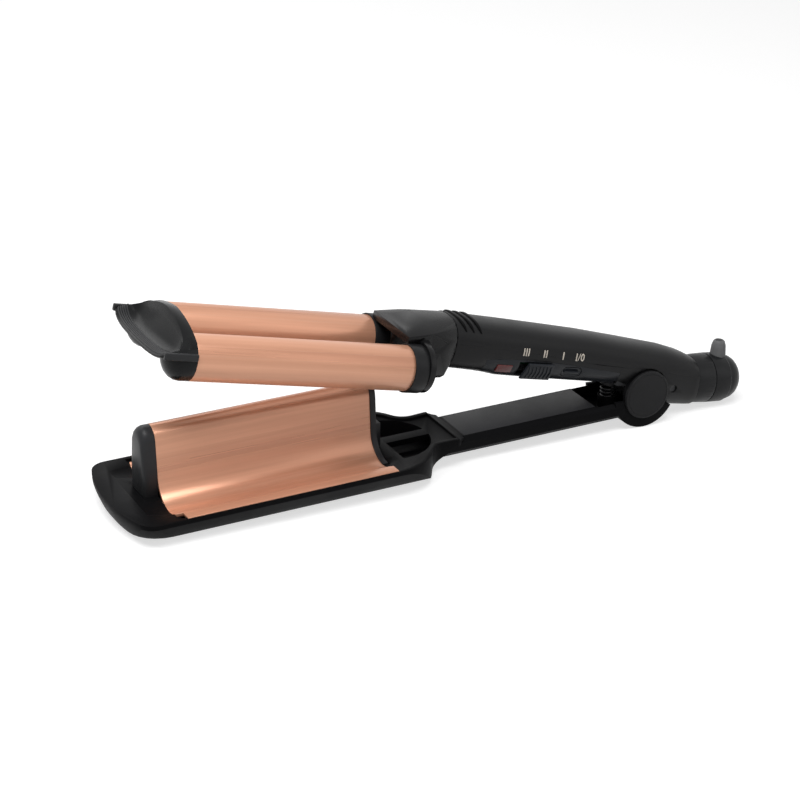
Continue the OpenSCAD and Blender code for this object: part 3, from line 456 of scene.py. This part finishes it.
# Rail along each side of the tip, from the end of the lip to the barrel, in the same lighter grey
# as a painted highlight on the strip.
rail = {"front": -282.2, "rear": -265.6, "height": 13.5, "side": 31.6, "out": 1.0, "half": 1.7,
        "edge": 0.5}
bm = bmesh.new()
for side in (-1, 1):
    made = bmesh.ops.create_cube(bm, size=1)["verts"]
    length = rail["rear"] - rail["front"]
    bmesh.ops.scale(bm, vec=(length, 2 * rail["out"], 2 * rail["half"]), verts=made)
    bmesh.ops.translate(bm, verts=made, vec=(rail["front"] + length / 2,
                                             side * rail["side"], rail["height"]))
bmesh.ops.bevel(bm, geom=bm.edges[:], offset=rail["edge"], offset_type="OFFSET", affect="EDGES",
                segments=3, profile=0.5, material=-1, clamp_overlap=True)
tipRails = settle(bm, "tipRails", upperFrame, paintedHighlightGrey, "upper_arm")

# Return spring with closed end turns.
spring = {"wire": 0.55, "coil": 3.5, "foot": -8.2, "length": 9.9, "turns": 5.0, "place": -14.0,
          "closed": 0.08, "steps": 160}
springLine = []
for i in range(spring["steps"] + 1):
    t = i / spring["steps"]
    rise = min(max((t - spring["closed"]) / 0.84, 0), 1)
    z = spring["foot"] + 0.65 + (spring["length"] - 1.4) * rise + 0.05 * t
    a = 2 * pi * spring["turns"] * t
    springLine.append((Vector((spring["place"] + spring["coil"] * cos(a),
                               spring["coil"] * sin(a), z)), 1.0))
# The spring's nearly black steel is painted shade.
returnSpring = sweptPiece("returnSpring", [springLine], lowerFrame, spring["wire"], shadedSteel,
                          "lower_arm")
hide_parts("return_spring")
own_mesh(returnSpring)


# A disc cap turned from its profile, with a fine groove near its rim.
discs = {"radius": 12.9, "inner": 14.62, "outer": 16.45, "groove": 11.5}


def hingeDisc(name, node, side):
    d = discs
    profile = [(0, d["inner"]), (d["radius"] - 0.1, d["inner"]), (d["radius"], d["inner"] + 0.15),
               (d["radius"], d["outer"] - 0.6), (d["radius"] - 0.18, d["outer"] - 0.2),
               (d["radius"] - 0.6, d["outer"]), (d["groove"] + 0.25, d["outer"]),
               (d["groove"] + 0.1, d["outer"] - 0.16), (d["groove"] - 0.1, d["outer"] - 0.16),
               (d["groove"] - 0.25, d["outer"] - 0.02), (4, d["outer"] - 0.05),
               (0, d["outer"] - 0.05)]
    bm = bmesh.new()
    verts = [bm.verts.new((r, side * h, 0)) for r, h in profile]
    edges = [bm.edges.new(pair) for pair in zip(verts, verts[1:])]
    bmesh.ops.spin(bm, geom=verts + edges, cent=(0, 0, 0), axis=(0, 1, 0), angle=2 * pi,
                   steps=96, use_merge=True)
    bmesh.ops.remove_doubles(bm, verts=bm.verts, dist=0.0001)
    bmesh.ops.recalc_face_normals(bm, faces=bm.faces)
    bmesh.ops.transform(bm, matrix=lowerFrame, verts=bm.verts)
    mesh = bpy.data.meshes.new(name)
    bm.to_mesh(mesh)
    bm.free()
    smoothFaces(mesh, 40)
    piece = keepPiece(name, mesh, discBlack, "lower_arm")
    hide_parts(node)


hingeDisc("hingeDiscNear", "hinge_cap_near", -1)
hingeDisc("hingeDiscFar", "hinge_cap_far", 1)


# Sliding heat switch with a slanted front and bent grip ribs.
slider = {"x": -70.8, "z": 9.6, "length": 17.4, "width": 9.2, "low": 1.0, "high": 2.3,
          "ribs": 7, "pitch": 2.15, "ribHeight": 0.42}
bm = bmesh.new()
half, side = slider["length"] / 2, slider["width"] / 2
raised(bm, [(-half, -side), (half, -side), (half, side), (-half + 2.2, side)],
       slider["low"], slider["high"], 0.4)
raised(bm, [(-2, -2.4), (5, -2.4), (5, 2.4), (-2, 2.4)], -2.6, 1.1, 0)
for i in range(slider["ribs"]):
    x = (i - 2.8) * slider["pitch"]
    raised(bm, [(x - 0.32, -3.5), (x + 0.32, -3.5), (x + 1.12, 0), (x + 0.32, 3.5),
                (x - 0.32, 3.5), (x + 0.48, 0)], slider["high"] - 0.1,
           slider["high"] + slider["ribHeight"], 0.14)
heatSlider = settle(bm, "heatSlider", panelFrame(slider["x"], slider["z"]), buttonGrey,
                    "heat_switch")
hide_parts("heat_switch")

# Oval power button: a dished oval with a raised bar along it.
button = {"x": -49.4, "z": 9.6, "length": 11.6, "width": 5.4, "dish": 0.3, "barLength": 8.8,
          "barWidth": 1.2, "barTop": 1.15}
bm = bmesh.new()
raised(bm, ovalOutline(button["length"], button["width"]), -1.6, 0.4, 0)
top = max(bm.faces, key=lambda f: f.calc_center_median().z)
bmesh.ops.inset_region(bm, faces=[top], thickness=0.45, depth=0)
bmesh.ops.inset_region(bm, faces=[top], thickness=0.5, depth=-button["dish"])
raised(bm, ovalOutline(button["barLength"], button["barWidth"], 8), -0.1, button["barTop"], 0.3)
powerButton = settle(bm, "powerButton", panelFrame(button["x"], button["z"]), buttonGrey,
                     "power_button")
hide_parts("power_button")

# Setting marks printed on the near side of the handle, laid on its surface.
marks = {"tall": 3.9, "bar": 0.72, "pitch": 1.4, "lift": 0.05,
         "rows": {"three": (-79.6, 19.0, 3), "two": (-68.1, 18.6, 2), "one": (-57.1, 18.1, 1)},
         "zero": (-46.8, 17.8)}
shell = bmesh.new()
for node in ("handle_top", "handle_body", "control_panel"):
    shell.from_mesh(nodes[node].data)
skin = BVHTree.FromBMesh(shell)
shell.free()
sideways = (upperFrame.to_3x3() @ Vector((0, 1, 0))).normalized()


# One printed bar as a strip of quads, leaning by the given amount.
def printBar(bm, x, mid, wide, lean):
    steps = 5
    places = [(x + lean * (2 * i / steps - 1), mid + marks["tall"] * (i / steps - 0.5))
              for i in range(steps + 1)]
    for (x0, z0), (x1, z1) in zip(places, places[1:]):
        corners = ((x0 - wide, z0), (x0 + wide, z0), (x1 + wide, z1), (x1 - wide, z1))
        bm.faces.new([bm.verts.new((px, 0, pz)) for px, pz in corners])


bm = bmesh.new()
for x, mid, count in marks["rows"].values():
    for k in range(count):
        printBar(bm, x + (k - (count - 1) / 2) * marks["pitch"], mid, marks["bar"] / 2, 0)
zeroX, zeroMid = marks["zero"]
printBar(bm, zeroX - 2.1, zeroMid, marks["bar"] / 2, 0)
printBar(bm, zeroX - 0.5, zeroMid, marks["bar"] * 0.32, 0.6)
for i in range(24):
    a, b = 2 * pi * i / 24, 2 * pi * (i + 1) / 24
    corners = [(a, 1.15, 1.95), (b, 1.15, 1.95), (b, 0.5, 1.3), (a, 0.5, 1.3)]
    bm.faces.new([bm.verts.new((zeroX + 1.6 + wide * cos(t), 0, zeroMid + tall * sin(t)))
                  for t, wide, tall in corners])
bmesh.ops.remove_doubles(bm, verts=bm.verts, dist=0.001)
for vert in bm.verts:
    start = upperFrame @ Vector((vert.co.x, -20, vert.co.z))
    hit, normal, index, distance = skin.ray_cast(start, sideways, 0.012)
    if hit is None:
        start = upperFrame @ Vector((vert.co.x, -20, vert.co.z + 0.2))
        hit, normal, index, distance = skin.ray_cast(start, sideways, 0.012)
    vert.co = hit + normal * marks["lift"] * 0.001
bmesh.ops.recalc_face_normals(bm, faces=bm.faces)
bmesh.ops.solidify(bm, geom=bm.faces, thickness=0.00004)
mesh = bpy.data.meshes.new("settingMarks")
bm.to_mesh(mesh)
bm.free()
settingMarks = keepPiece("settingMarks", mesh, printInk, "upper_arm")
print("small pieces modelled")


# Floor and light.
studio = {"floor": 3.0, "paint": 0.55, "glow": 0.66, "worldLight": 0.14, "key": 17.0,
          "fill": 1.4, "back": 3.0}
bm = bmesh.new()
bmesh.ops.create_grid(bm, x_segments=1, y_segments=1, size=studio["floor"])
bmesh.ops.translate(bm, verts=bm.verts, vec=(0, 0, -0.0002))
mesh = bpy.data.meshes.new("floor")
bm.to_mesh(mesh)
bm.free()
floor = bpy.data.objects.new("floor", mesh)
scene.collection.objects.link(floor)
floorPaint = bpy.data.materials.new("floorPaint")
floorPaint.use_nodes = True
tree = floorPaint.node_tree
paint = tree.nodes["Principled BSDF"]
paint.inputs["Base Color"].default_value = (*[studio["paint"]] * 3, 1)
paint.inputs["Roughness"].default_value = 0.9
paint.inputs["Specular IOR Level"].default_value = 0.1
glow = addNode(tree, "Emission")
glow.inputs["Strength"].default_value = studio["glow"]
seen = addNode(tree, "LightPath")
both = addNode(tree, "AddShader")
pick = addNode(tree, "MixShader")
tree.links.new(paint.outputs[0], both.inputs[0])
tree.links.new(glow.outputs[0], both.inputs[1])
tree.links.new(mathNode(tree, "MAXIMUM", seen.outputs["Is Camera Ray"],
                        seen.outputs["Is Glossy Ray"]), pick.inputs[0])
tree.links.new(paint.outputs[0], pick.inputs[1])
tree.links.new(both.outputs[0], pick.inputs[2])
tree.links.new(pick.outputs[0], tree.nodes["Material Output"].inputs["Surface"])
mesh.materials.append(floorPaint)

world = bpy.data.worlds.new("studio")
scene.world = world
world.use_nodes = True
tree = world.node_tree
soft = tree.nodes["Background"]
soft.inputs["Color"].default_value = (1, 1, 1, 1)
soft.inputs["Strength"].default_value = studio["worldLight"]
white = addNode(tree, "Background")
white.inputs["Strength"].default_value = 1.0
white.inputs["Color"].default_value = (1, 1, 1, 1)
seen = addNode(tree, "LightPath")
pick = addNode(tree, "MixShader")
rays = mathNode(tree, "MAXIMUM", seen.outputs["Is Camera Ray"], seen.outputs["Is Glossy Ray"])
tree.links.new(mathNode(tree, "MAXIMUM", rays, seen.outputs["Is Transmission Ray"]),
               pick.inputs[0])
tree.links.new(soft.outputs[0], pick.inputs[1])
tree.links.new(white.outputs[0], pick.inputs[2])
tree.links.new(pick.outputs[0], tree.nodes["World Output"].inputs["Surface"])


def softbox(name, place, aim, power, size):
    data = bpy.data.lights.new(name, "AREA")
    data.energy = power
    data.shape = "RECTANGLE"
    data.size, data.size_y = size
    lamp = bpy.data.objects.new(name, data)
    lamp.location = place
    lamp.rotation_euler = (Vector(aim) - Vector(place)).to_track_quat("-Z", "Y").to_euler()
    scene.collection.objects.link(lamp)


softbox("keyBox", (-0.4, -0.35, 1.25), (-0.02, 0, 0.04), studio["key"], (1.0, 0.6))
softbox("fillBox", (0.9, -0.9, 0.7), (0, 0, 0.04), studio["fill"], (0.8, 0.8))
softbox("backBox", (-0.2, 1.1, 0.9), (0, 0, 0.05), studio["back"], (1.2, 0.5))
print("studio lit")
